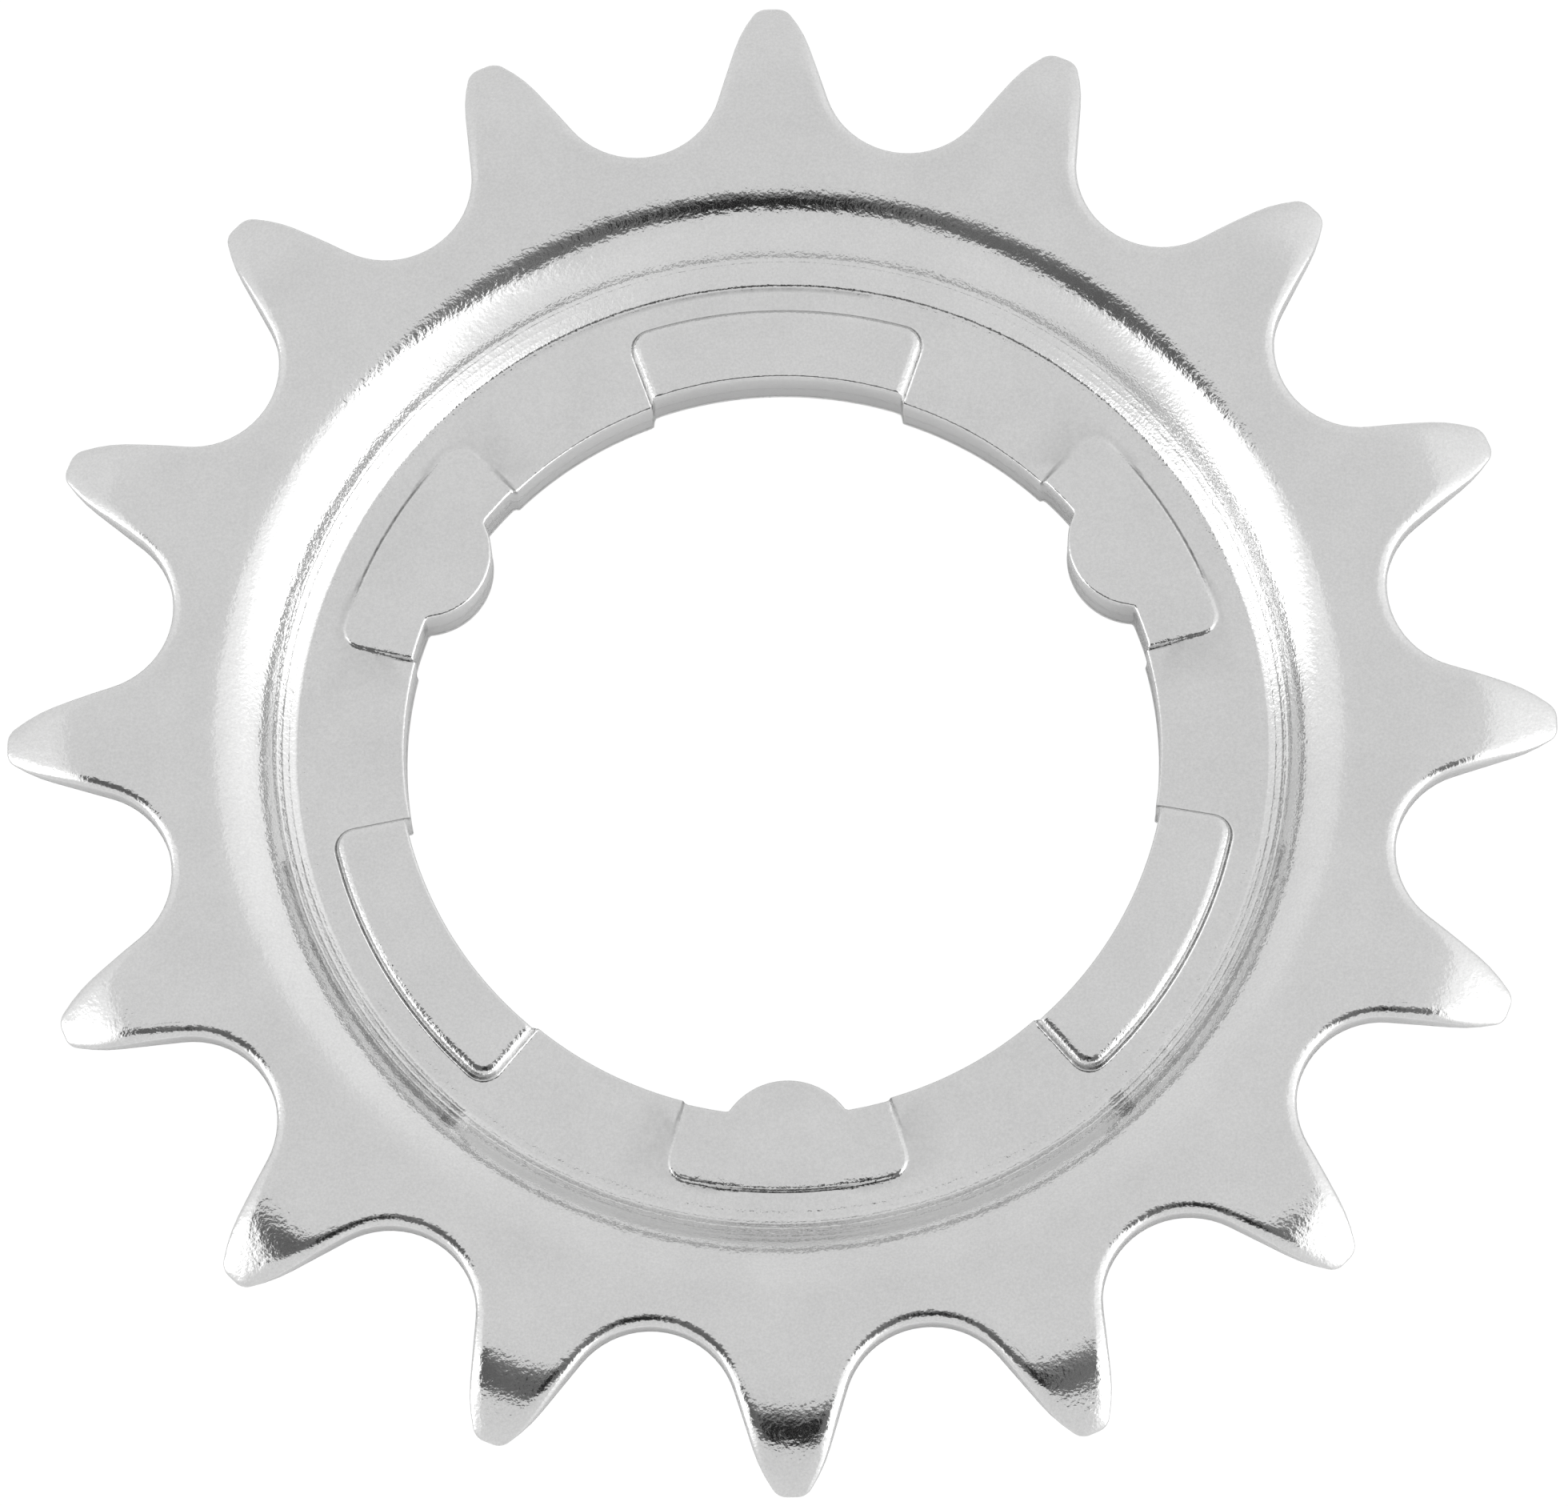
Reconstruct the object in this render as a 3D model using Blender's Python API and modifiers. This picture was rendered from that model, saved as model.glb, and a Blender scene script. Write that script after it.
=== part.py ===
"""Dished drive sprocket of a bicycle hub gear, stamped and coined from one steel plate.

Sixteen teeth for half-inch pitch chain stand on a flat plate. A round bend joins the plate to a
sunk centre flange. The flange has a bore with three inner lobes that key it to the hub's driver,
three raised plain pads between the lobes, and three faint pads round the lobes.
It lies on the flange's back face, front face up, and the bore's axis is Z.
"""

import math

import bmesh
import bpy

MM = 0.001
NODE = "sprocket"

# Teeth
TEETH = 16
CHAIN_PITCH = 12.7 * MM
SEAT_RADIUS = 3.96 * MM
FLANK_ANGLE = math.radians(17.0)
FLANK_LENGTH = 2.82 * MM
SHOULDER_ANGLE = math.radians(33.6)
SHOULDER_RADIUS = 7.0 * MM
CORNER_RADIUS = 0.78 * MM

# Heights, measured up from the flange's back face
FLANGE_THICKNESS = 2.8 * MM
DISH_DEPTH = 2.92 * MM
TOOTH_THICKNESS = 2.25 * MM
PLATE_FRONT = FLANGE_THICKNESS + DISH_DEPTH
PLATE_BACK = PLATE_FRONT - TOOTH_THICKNESS

# Round bend between plate and flange
BEND_START_RADIUS = 27.2 * MM
FRONT_BEND_RADIUS = 4.45 * MM
BACK_BEND_RADIUS = FRONT_BEND_RADIUS - TOOTH_THICKNESS
BEND_ANGLE = math.radians(62.0)
FRONT_FILLET_RADIUS = 1.0 * MM
BACK_CORNER_RADIUS = 1.2 * MM

# Bevels coined on the tooth tips: in front round and then straight, behind straight
FRONT_BEVEL_START = 31.05 * MM
FRONT_BEVEL_RADIUS = 8.3 * MM
FRONT_BEVEL_ANGLE = math.radians(22.0)
BACK_BEVEL_START = 34.4 * MM
BACK_BEVEL_SLOPE = 0.5

# Bore and its lobes
BORE_RADIUS = 17.45 * MM
LOBED_PAD_BORE_RADIUS = 17.6 * MM
PLAIN_PAD_BORE_RADIUS = 17.7 * MM
LOBES = 3
FIRST_LOBE_ANGLE = math.radians(30.0)
LOBE_RADIUS = 3.2 * MM
LOBE_TIP_RADIUS = 15.95 * MM

# Pads on the flange, pushed forward out of it
PAD_OUTER_RADIUS = 21.1 * MM
PAD_CORNER_RADIUS = 0.9 * MM
PLAIN_PAD_HALF_ANGLE = math.radians(19.3)
PLAIN_PAD_RISE = 0.6 * MM
PLAIN_POCKET_DEPTH = 0.5 * MM
LOBED_PAD_HALF_ANGLE = math.radians(15.5)
LOBED_PAD_RISE = 0.15 * MM
LOBED_POCKET_DEPTH = 0.12 * MM

# Working sizes for solids that are cut away again
BLANK_INNER_RADIUS = 14.0 * MM
BLANK_OUTER_RADIUS = 35.8 * MM
PAD_INNER_RADIUS = 14.6 * MM
OVERLAP = 0.4 * MM
PASS_THROUGH = 2.0 * MM
TURN_STEPS = 96

# Steps on each round stretch
BEND_STEPS = 8
FILLET_STEPS = 4
BACK_BEND_STEPS = 4
BACK_CORNER_STEPS = 4
BEVEL_STEPS = 4
SEAT_STEPS = 5
SHOULDER_STEPS = 2
CORNER_STEPS = 3
LOBE_STEPS = 8
PAD_STEPS = 7
PAD_CORNER_STEPS = 4
ARC_STEP_ANGLE = math.radians(3.75)

# Points nearer to each other than this are one point, and edges sharper than this stay sharp
WELD_DISTANCE = 0.001 * MM
SHARP_ANGLE = math.radians(25.0)

STEEL_COLOUR = (0.72, 0.72, 0.71, 1.0)
STEEL_ROUGHNESS = 0.22


def clear_scene():
    for item in list(bpy.data.objects):
        bpy.data.objects.remove(item)


def new_collection(name):
    collection = bpy.data.collections.new(name)
    bpy.context.scene.collection.children.link(collection)
    return collection


def arc(centre_x, centre_y, radius, start, end, steps):
    """Points along an arc, both ends included."""
    points = []
    for i in range(steps + 1):
        angle = start + (end - start) * i / steps
        points.append((centre_x + radius * math.cos(angle), centre_y + radius * math.sin(angle)))
    return points


def turned(point, angle):
    """A point of the plane, turned about the origin."""
    x, y = point
    return (x * math.cos(angle) - y * math.sin(angle), x * math.sin(angle) + y * math.cos(angle))


def front_bevel_points():
    """Front face over the teeth, from the outside in, sinking towards the tips."""
    up = math.pi / 2
    centre_z = PLATE_FRONT - FRONT_BEVEL_RADIUS
    bevel = arc(FRONT_BEVEL_START, centre_z, FRONT_BEVEL_RADIUS, up - FRONT_BEVEL_ANGLE, up, BEVEL_STEPS)
    radius, height = bevel[0]
    drop = (BLANK_OUTER_RADIUS - radius) * math.tan(FRONT_BEVEL_ANGLE)
    return [(BLANK_OUTER_RADIUS, height - drop)] + bevel


def front_bend_points():
    """Front of the round bend, from the plate in to the flange, with the small fillet at its foot."""
    centre_z = PLATE_FRONT - FRONT_BEND_RADIUS
    fillet_z = FLANGE_THICKNESS + FRONT_FILLET_RADIUS
    reach = FRONT_BEND_RADIUS + FRONT_FILLET_RADIUS
    slope = math.acos((fillet_z - centre_z) / reach)
    fillet_r = BEND_START_RADIUS - reach * math.sin(slope)
    up = math.pi / 2
    bend = arc(BEND_START_RADIUS, centre_z, FRONT_BEND_RADIUS, up, up + slope, BEND_STEPS)
    fillet = arc(fillet_r, fillet_z, FRONT_FILLET_RADIUS, slope - up, -up, FILLET_STEPS)
    return bend + fillet[1:]


def back_bend_points():
    """Back of the flange's round corner and of the bend, from the flange out to the plate."""
    up = math.pi / 2
    centre_z = PLATE_FRONT - FRONT_BEND_RADIUS
    wall_top_r = BEND_START_RADIUS - BACK_BEND_RADIUS * math.sin(BEND_ANGLE)
    wall_top_z = centre_z + BACK_BEND_RADIUS * math.cos(BEND_ANGLE)
    corner_r = wall_top_r - BACK_CORNER_RADIUS * math.sin(BEND_ANGLE)
    corner_r -= (wall_top_z - BACK_CORNER_RADIUS * (1 - math.cos(BEND_ANGLE))) / math.tan(BEND_ANGLE)
    corner = arc(corner_r, BACK_CORNER_RADIUS, BACK_CORNER_RADIUS, -up, BEND_ANGLE - up, BACK_CORNER_STEPS)
    bend = arc(BEND_START_RADIUS, centre_z, BACK_BEND_RADIUS, up + BEND_ANGLE, up, BACK_BEND_STEPS)
    return corner + bend


def section_points():
    """The turned section's outline as (radius, height): down the outer side, in along the back."""
    tip_back = PLATE_BACK + BACK_BEVEL_SLOPE * (BLANK_OUTER_RADIUS - BACK_BEVEL_START)
    points = [(BACK_BEVEL_START, PLATE_BACK)]
    points += back_bend_points()[::-1]
    points += [(BLANK_INNER_RADIUS, 0.0), (BLANK_INNER_RADIUS, FLANGE_THICKNESS)]
    points += front_bend_points()[::-1]
    points += front_bevel_points()[::-1]
    points += [(BLANK_OUTER_RADIUS, tip_back)]
    return points


def tooth_points():
    """One tooth of the outline, standing on +Y, from the gap before it to its tip's right corner."""
    half_step = math.pi / TEETH
    pitch_radius = CHAIN_PITCH / (2 * math.sin(half_step))
    seat_x = pitch_radius * math.sin(half_step)
    seat_y = pitch_radius * math.cos(half_step)
    root_angle = 1.5 * math.pi - half_step
    flank_angle = math.pi + FLANK_ANGLE
    seat = arc(seat_x, seat_y, SEAT_RADIUS, root_angle, flank_angle, SEAT_STEPS)
    x, y = seat[-1]
    x -= FLANK_LENGTH * math.sin(FLANK_ANGLE)
    y += FLANK_LENGTH * math.cos(FLANK_ANGLE)
    shoulder_x = x - SHOULDER_RADIUS * math.cos(FLANK_ANGLE)
    shoulder_y = y - SHOULDER_RADIUS * math.sin(FLANK_ANGLE)
    shoulder = arc(shoulder_x, shoulder_y, SHOULDER_RADIUS, FLANK_ANGLE, SHOULDER_ANGLE, SHOULDER_STEPS)
    x, y = shoulder[-1]
    corner_x = x - CORNER_RADIUS * math.cos(SHOULDER_ANGLE)
    corner_y = y - CORNER_RADIUS * math.sin(SHOULDER_ANGLE)
    corner = arc(corner_x, corner_y, CORNER_RADIUS, SHOULDER_ANGLE, math.pi / 2, CORNER_STEPS)
    return seat + shoulder + corner[1:]


def toothed_outline():
    """The whole outer outline, counter-clockwise, with a tooth on +Y."""
    rising = tooth_points()
    falling = [(-x, y) for x, y in rising[::-1]]
    points = []
    for i in range(TEETH):
        angle = 2 * math.pi * i / TEETH
        tooth = rising + falling[:-1]
        points += [turned(point, angle) for point in tooth]
    return points


def lobe_points(lobe_angle):
    """The bore's edge across one lobe, counter-clockwise about the bore."""
    centre = LOBE_TIP_RADIUS + LOBE_RADIUS
    foot_x = (LOBED_PAD_BORE_RADIUS**2 + centre**2 - LOBE_RADIUS**2) / (2 * centre)
    foot_y = math.sqrt(LOBED_PAD_BORE_RADIUS**2 - foot_x**2)
    half = math.atan2(foot_y, centre - foot_x)
    lobe = arc(centre, 0.0, LOBE_RADIUS, math.pi + half, math.pi - half, LOBE_STEPS)
    return [turned(point, lobe_angle) for point in lobe]


def bore_arc(radius, start, end):
    steps = max(1, round((end - start) / ARC_STEP_ANGLE))
    return arc(0.0, 0.0, radius, start, end, steps)


def bore_outline():
    """The bore's edge: lobe, its pad's arcs, plain arc, plain pad's arc, plain arc, three times over."""
    points = []
    lobe_half = math.atan2(lobe_points(0.0)[-1][1], lobe_points(0.0)[-1][0])
    for i in range(LOBES):
        lobe = FIRST_LOBE_ANGLE + 2 * math.pi * i / LOBES
        pad = lobe + math.pi / LOBES
        points += bore_arc(LOBED_PAD_BORE_RADIUS, lobe - LOBED_PAD_HALF_ANGLE, lobe - lobe_half)[:-1]
        points += lobe_points(lobe)
        points += bore_arc(LOBED_PAD_BORE_RADIUS, lobe + lobe_half, lobe + LOBED_PAD_HALF_ANGLE)[1:]
        points += bore_arc(BORE_RADIUS, lobe + LOBED_PAD_HALF_ANGLE, pad - PLAIN_PAD_HALF_ANGLE)
        points += bore_arc(PLAIN_PAD_BORE_RADIUS, pad - PLAIN_PAD_HALF_ANGLE, pad + PLAIN_PAD_HALF_ANGLE)
        next_lobe = lobe + 2 * math.pi / LOBES
        points += bore_arc(BORE_RADIUS, pad + PLAIN_PAD_HALF_ANGLE, next_lobe - LOBED_PAD_HALF_ANGLE)
    return points


def pad_outline(middle, half_angle):
    """A pad seen from the front: a ring sector with round outer corners."""
    corner_reach = PAD_OUTER_RADIUS - PAD_CORNER_RADIUS
    corner_angle = half_angle - math.asin(PAD_CORNER_RADIUS / corner_reach)
    corner_x = corner_reach * math.cos(corner_angle)
    corner_y = corner_reach * math.sin(corner_angle)
    side = half_angle + math.pi / 2
    upper = arc(corner_x, corner_y, PAD_CORNER_RADIUS, corner_angle, side, PAD_CORNER_STEPS)
    lower = [(x, -y) for x, y in upper[::-1]]
    outer = arc(0.0, 0.0, PAD_OUTER_RADIUS, -corner_angle, corner_angle, PAD_STEPS)[1:-1]
    inner_end = (PAD_INNER_RADIUS * math.cos(half_angle), PAD_INNER_RADIUS * math.sin(half_angle))
    points = [(inner_end[0], -inner_end[1])] + lower + outer + upper + [inner_end]
    return [turned(point, middle) for point in points]


def add_spline(curve, points):
    spline = curve.splines.new("POLY")
    spline.points.add(len(points) - 1)
    for point, (x, y) in zip(spline.points, points):
        point.co = (x, y, 0.0, 1.0)
    spline.use_cyclic_u = True


def prism(name, outlines, bottom, top, collection):
    """A flat solid between two heights, filled inside its outlines, as a mesh object."""
    curve = bpy.data.curves.new(name, "CURVE")
    curve.dimensions = "2D"
    curve.fill_mode = "BOTH"
    curve.extrude = (top - bottom) / 2
    for outline in outlines:
        add_spline(curve, outline)
    guide = bpy.data.objects.new(name + "_curve", curve)
    guide.location.z = (top + bottom) / 2
    collection.objects.link(guide)
    bpy.context.view_layer.update()
    evaluated = guide.evaluated_get(bpy.context.evaluated_depsgraph_get())
    mesh = bpy.data.meshes.new_from_object(evaluated)
    weld(mesh)
    solid = bpy.data.objects.new(name, mesh)
    solid.matrix_world = guide.matrix_world
    collection.objects.link(solid)
    bpy.data.objects.remove(guide)
    return solid


def weld(mesh):
    work = bmesh.new()
    work.from_mesh(mesh)
    bmesh.ops.remove_doubles(work, verts=work.verts, dist=WELD_DISTANCE)
    bmesh.ops.recalc_face_normals(work, faces=work.faces)
    work.to_mesh(mesh)
    work.free()


def turned_blank(collection):
    """The dished disc before its teeth and bore are cut: its section turned about Z."""
    points = section_points()
    mesh = bpy.data.meshes.new(NODE)
    edges = [(i, (i + 1) % len(points)) for i in range(len(points))]
    mesh.from_pydata([(radius, 0.0, height) for radius, height in points], edges, [])
    blank = bpy.data.objects.new(NODE, mesh)
    collection.objects.link(blank)
    screw = blank.modifiers.new("turn", "SCREW")
    screw.axis = "Z"
    screw.angle = 2 * math.pi
    screw.steps = TURN_STEPS
    screw.render_steps = TURN_STEPS
    screw.use_merge_vertices = True
    screw.merge_threshold = WELD_DISTANCE
    return blank


def boolean(target, operation, cutter):
    modifier = target.modifiers.new(operation.lower() + "_" + cutter.name, "BOOLEAN")
    modifier.operation = operation
    modifier.object = cutter
    modifier.solver = "EXACT"
    cutter.hide_render = True
    cutter.display_type = "WIRE"


def add_pads(blank, name, first, half_angle, rise, pocket, cutters):
    """Raises three pads on the flange's front and sinks their pockets in its back."""
    outlines = [pad_outline(first + 2 * math.pi * i / LOBES, half_angle) for i in range(LOBES)]
    pads = prism(name + "_pads", outlines, FLANGE_THICKNESS - OVERLAP, FLANGE_THICKNESS + rise, cutters)
    boolean(blank, "UNION", pads)
    pockets = prism(name + "_pockets", outlines, -PASS_THROUGH, pocket, cutters)
    boolean(blank, "DIFFERENCE", pockets)


def finish(item):
    """Applies the modifiers, and shades the round faces smooth and the edges sharp."""
    bpy.context.view_layer.update()
    evaluated = item.evaluated_get(bpy.context.evaluated_depsgraph_get())
    mesh = bpy.data.meshes.new_from_object(evaluated)
    item.modifiers.clear()
    item.data = mesh
    mesh.shade_smooth()
    mesh.set_sharp_from_angle(angle=SHARP_ANGLE)


def steel():
    material = bpy.data.materials.new("plated_steel")
    material.use_nodes = True
    shader = material.node_tree.nodes["Principled BSDF"]
    shader.inputs["Base Color"].default_value = STEEL_COLOUR
    shader.inputs["Metallic"].default_value = 1.0
    shader.inputs["Roughness"].default_value = STEEL_ROUGHNESS
    return material


def main():
    clear_scene()
    parts = new_collection("hub_gear_sprocket")
    cutters = new_collection("cutters")
    sprocket = turned_blank(parts)
    plain_first = FIRST_LOBE_ANGLE + math.pi / LOBES
    add_pads(sprocket, "plain", plain_first, PLAIN_PAD_HALF_ANGLE, PLAIN_PAD_RISE, PLAIN_POCKET_DEPTH, cutters)
    add_pads(
        sprocket, "lobed", FIRST_LOBE_ANGLE, LOBED_PAD_HALF_ANGLE, LOBED_PAD_RISE, LOBED_POCKET_DEPTH, cutters
    )
    outlines = [toothed_outline(), bore_outline()]
    outline = prism("outline", outlines, -PASS_THROUGH, PLATE_FRONT + PASS_THROUGH, cutters)
    boolean(sprocket, "INTERSECT", outline)
    finish(sprocket)
    sprocket.data.materials.clear()
    sprocket.data.materials.append(steel())


main()
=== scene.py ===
"""Looks of a bicycle hub gear's dished drive sprocket, a stamped and plated steel plate.

One visual mesh replaces the CAD node "sprocket". It has the same driving sizes as the CAD solid,
plus what stamping leaves on a real one: rolled edges round the teeth and the bore, sheared and torn
cut walls, soft pad edges, the fine grooves that the dishing punch leaves, and plating with orange
peel. Lengths are in millimetres, except where a comment says metres, until the mesh is written.
"""

import math

import bmesh
import bpy
import numpy as np
from mathutils import Matrix, Vector
from mathutils.geometry import delaunay_2d_cdt


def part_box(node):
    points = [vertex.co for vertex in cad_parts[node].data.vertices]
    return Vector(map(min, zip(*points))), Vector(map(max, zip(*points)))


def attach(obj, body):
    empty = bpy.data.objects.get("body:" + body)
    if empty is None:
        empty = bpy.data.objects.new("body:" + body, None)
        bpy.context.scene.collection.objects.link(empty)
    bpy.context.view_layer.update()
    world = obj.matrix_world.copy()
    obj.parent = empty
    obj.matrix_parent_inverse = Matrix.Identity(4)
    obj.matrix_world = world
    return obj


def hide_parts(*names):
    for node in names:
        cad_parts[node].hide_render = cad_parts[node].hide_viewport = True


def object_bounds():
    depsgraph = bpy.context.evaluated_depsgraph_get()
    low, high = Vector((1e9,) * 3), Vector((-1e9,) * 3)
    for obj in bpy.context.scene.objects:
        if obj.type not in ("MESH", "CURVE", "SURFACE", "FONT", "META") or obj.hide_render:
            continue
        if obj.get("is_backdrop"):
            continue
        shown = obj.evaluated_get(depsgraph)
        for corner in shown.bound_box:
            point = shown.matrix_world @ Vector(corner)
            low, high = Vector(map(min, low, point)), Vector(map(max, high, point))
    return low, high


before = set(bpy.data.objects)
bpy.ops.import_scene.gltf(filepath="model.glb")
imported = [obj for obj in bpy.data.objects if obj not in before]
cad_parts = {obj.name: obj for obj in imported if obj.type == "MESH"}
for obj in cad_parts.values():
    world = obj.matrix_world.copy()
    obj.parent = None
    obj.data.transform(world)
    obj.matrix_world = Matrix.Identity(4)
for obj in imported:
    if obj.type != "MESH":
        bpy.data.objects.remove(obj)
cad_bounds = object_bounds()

MM = 0.001
NODE = "sprocket"
BODY = "root"

# Heights, from the CAD node's box, whose lowest side is the flange's back face
LOWEST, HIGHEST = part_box(NODE)
PLATE_FRONT = HIGHEST.z / MM
DISH_DEPTH = 2.92
TOOTH_THICKNESS = 2.25
FLANGE_FRONT = PLATE_FRONT - DISH_DEPTH
PLATE_BACK = PLATE_FRONT - TOOTH_THICKNESS

# Teeth
TEETH = 16
CHAIN_PITCH = 12.7
HALF_STEP = math.pi / TEETH
PITCH_RADIUS = CHAIN_PITCH / (2 * math.sin(HALF_STEP))
SEAT_RADIUS = 3.96
FLANK_ANGLE = math.radians(17.0)
FLANK_LENGTH = 2.82
SHOULDER_ANGLE = math.radians(33.6)
SHOULDER_RADIUS = 7.0
CORNER_RADIUS = 0.78
SEAT_STEPS = 10
FLANK_STEPS = 3
SHOULDER_STEPS = 3
CORNER_STEPS = 5

# Edge that the blanking die rolled over, and the bevels coined on the tips
ROLL_RADIUS = 1.3
ROLL_EDGE_RADIUS = 0.3
ROLL_EDGE_SLOPE = math.radians(22.0)
ROLL_SLOPES = (85, 70, 55, 40, 30, 22, 18, 14, 11, 7, 3.5, 0)
TIP_ROLL = 0.3
BEVEL_START = 31.05
BEVEL_RADIUS = 8.3
BEVEL_ANGLE = math.radians(22.0)
BEVEL_CROWN = 0.009
BEVEL_CROWN_START = 31.5
TIP_RADIUS = 35.6
BACK_BEVEL_START = 34.4
BACK_BEVEL_SLOPE = 0.5
BACK_EDGE = 0.08
FACE_ROWS = 13
BACK_FACE_ROWS = 5

# Round bend between plate and flange, and the fillet at its foot
COLLAR_RADIUS = 27.3
BEND_START = 27.2
BEND_RADIUS = 4.45
BEND_ANGLE = math.radians(55.5)
KNEE_ANGLE = math.radians(48.0)
KNEE_RADIUS = 1.0
FOOT_ANGLE = math.radians(36.0)
FOOT_FILLET_RADIUS = 0.4
BEND_ROWS = 19
FILLET_ROWS = 3
FOOT_ROWS = 5

# Fine grooves that the punch left on the wall, at these slopes, and one at its foot, given as
# (distance in from the foot, depth)
GROOVE_SLOPES = tuple(math.radians(a) for a in (46.0, 42.0, 38.0))
GROOVE_TILT = math.radians(15.0)
GROOVE_STEP = 0.05
FOOT_GROOVE = ((0.06, 0.018), (0.22, 0.0))

# Scuffs on the wall, most of them on one side, and painted shade that darkens the crease at its
# foot, most of it towards +Y
FOOT_GROOVE_SCUFF = 0.8
SCUFF_START_RADIUS = 24.6
SCUFF_FULL_RADIUS = 23.6
SCUFF_LEAST = 0.25
SCUFF_MOST = 0.9
SCUFF_MIDDLE = math.radians(30.0)
SCUFF_SPREAD = math.radians(24.0)
FOOT_SCUFF_WIDTH = 0.3
# Painted shade in the foot crease: how strong it is, and round which direction it lies
FOOT_PAINTED_SHADE = 0.55
FOOT_PAINTED_SHADE_MIDDLE = math.radians(92.0)
FOOT_PAINTED_SHADE_SPREAD = math.radians(24.0)

# Back of the bend, and the ring where the turned rows meet the flange's mesh. Open edges inside it
# by more than the margin are the bore's
BACK_BEND_RADIUS = BEND_RADIUS - TOOTH_THICKNESS
BACK_BEND_ANGLE = math.radians(62.0)
BACK_CORNER_RADIUS = 1.2
BACK_ROWS = 6
RING_RADIUS = 21.6
RING_MARGIN = 0.5

# Bore, lobes and pads
BORE_RADIUS = 17.45
LOBED_PAD_BORE_RADIUS = 17.6
PLAIN_PAD_BORE_RADIUS = 17.7
LOBES = 3
FIRST_LOBE = math.radians(30.0)
LOBE_RADIUS = 3.2
LOBE_TIP_RADIUS = 15.95
LOBE_BLEND = 0.16
BORE_STEP_BLEND = math.radians(0.35)
BORE_SPACING = 0.16
BORE_SAMPLES = 24001
BORE_ANGLE_STEP = 1e-4
BORE_ROLL_WIDTH = 0.18
BORE_ROLL_DEPTH = 0.12
BORE_ROLL_ANGLES = (25, 45, 65, 90)
SHORTEST_EDGE = 1e-9
PAD_OUTER_RADIUS = 21.1
PAD_INNER_RADIUS = 14.6
PAD_CORNER_RADIUS = 0.9
PLAIN_PAD_HALF_ANGLE = math.radians(19.3)
PLAIN_PAD_RISE = 0.6
PLAIN_POCKET_DEPTH = 0.5
LOBED_PAD_HALF_ANGLE = math.radians(15.5)
LOBED_PAD_RISE = 0.15
LOBED_POCKET_DEPTH = 0.12
PAD_SPACING = 0.2
PAD_CORNER_POINTS = 9

# Part of a pad's height at distances outside its outline: round top edge, steep side, soft foot
PAD_EDGE_AT = (-0.5, -0.42, -0.34, -0.26, -0.19, -0.13, -0.07, -0.02, 0.02, 0.07, 0.13, 0.22)
PAD_EDGE_HEIGHT = (1.0, 0.985, 0.955, 0.915, 0.87, 0.82, 0.73, 0.55, 0.2, 0.07, 0.02, 0.0)

# How scuffed a pad's edge is at such distances, and how much painted shade darkens its crease
PAD_SCUFF_AT = (-0.5, -0.25, -0.12, 0.0, 0.13)
PAD_SCUFF = (0.0, 0.15, 0.9, 0.9, 0.0)
# Painted shade along a pad's crease, by distance outside its outline
PAD_PAINTED_SHADE_AT = (-0.05, 0.0, 0.07, 0.12)
PAD_PAINTED_SHADE = (0.0, 1.0, 1.0, 0.0)
BORE_SCUFF = 0.1

# How much wider a lobed pad's edge is at its outer corners, and the distances from a corner's
# centre between which it becomes sharp
CORNER_FADE = (0.5, 3.0)
CORNER_SPREAD = 3.6

# Cut walls from the back up: part of the height, how far it is torn in, and how torn it looks
BORE_WALL = (
    (0.02, 0.05, 0.5),
    (0.22, 0.06, 0.5),
    (0.46, 0.04, 0.5),
    (0.54, 0.0, 0.35),
    (0.85, 0.0, 0.3),
)
TORN_WALL = ((0.0, 0.34, 1.0), (0.3, 0.25, 1.0), (0.65, 0.13, 1.0), (0.95, 0.02, 1.0))
SHEARED_WALL = ((0.05, 0.0, 0.35), (0.5, 0.0, 0.3))
SHEAR_END = 1.2
SHEAR_LEAST = 0.05

# Points nearer than this are one, in the flange's plan and, in metres, in the finished mesh. Edges
# sharper than SHARP_ANGLE aren't smoothed
PLAN_WELD_DISTANCE = 1e-5
WELD_DISTANCE = 1e-7
SHARP_ANGLE = math.radians(38.0)

# Plating: colours, noises as (scale per metre, detail, roughness), and bump distances in metres
DARK_PLATE = (0.54, 0.54, 0.54, 1.0)
BRIGHT_PLATE = (0.915, 0.915, 0.912, 1.0)
TORN_COLOUR = (0.58, 0.58, 0.58, 1.0)
# Painted shade: the dark colour laid into creases
CREASE_SHADE_COLOUR = (0.2, 0.2, 0.2, 1.0)
FINE_MOTTLE_NOISE = (8000.0, 3.0, 0.7)
FINE_MOTTLE_PART = 0.7
BROAD_MOTTLE_NOISE = (260.0, 3.0, 0.6)
PEEL_NOISE = (3000.0, 2.0, 0.5)
PEEL_BUMP = 1.2e-5
BROAD_PEEL_NOISE = (700.0, 1.0, 0.4)
BROAD_PEEL_BUMP = 1.2e-5
FINE_PEEL_NOISE = (7000.0, 1.0, 0.5)
FINE_PEEL_BUMP = 7.0e-6
SCUFF_NOISE = (7000.0, 2.0, 0.6)
SCUFF_BUMP = 2.5e-5
TORN_GRAIN_NOISE = (9000.0, 2.0, 0.6)
TORN_GRAIN_PART = 0.6
TORN_STREAK_NOISE = (6000.0, 3.0, 0.6)
TORN_STREAK_STRETCH = (1.0, 1.0, 0.15)
TORN_BUMP = 3.0e-5
# Noise that breaks up the painted crease shade, and the range it is mapped to
CREASE_SHADE_NOISE = (2500.0, 2.0, 0.6)
CREASE_SHADE_RANGE = (0.1, 1.3)
SMEAR_NOISE = (420.0, 3.0, 0.6)
ROUGHNESS_RANGE = (0.07, 0.15)
TORN_ROUGHNESS = 0.22

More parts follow.
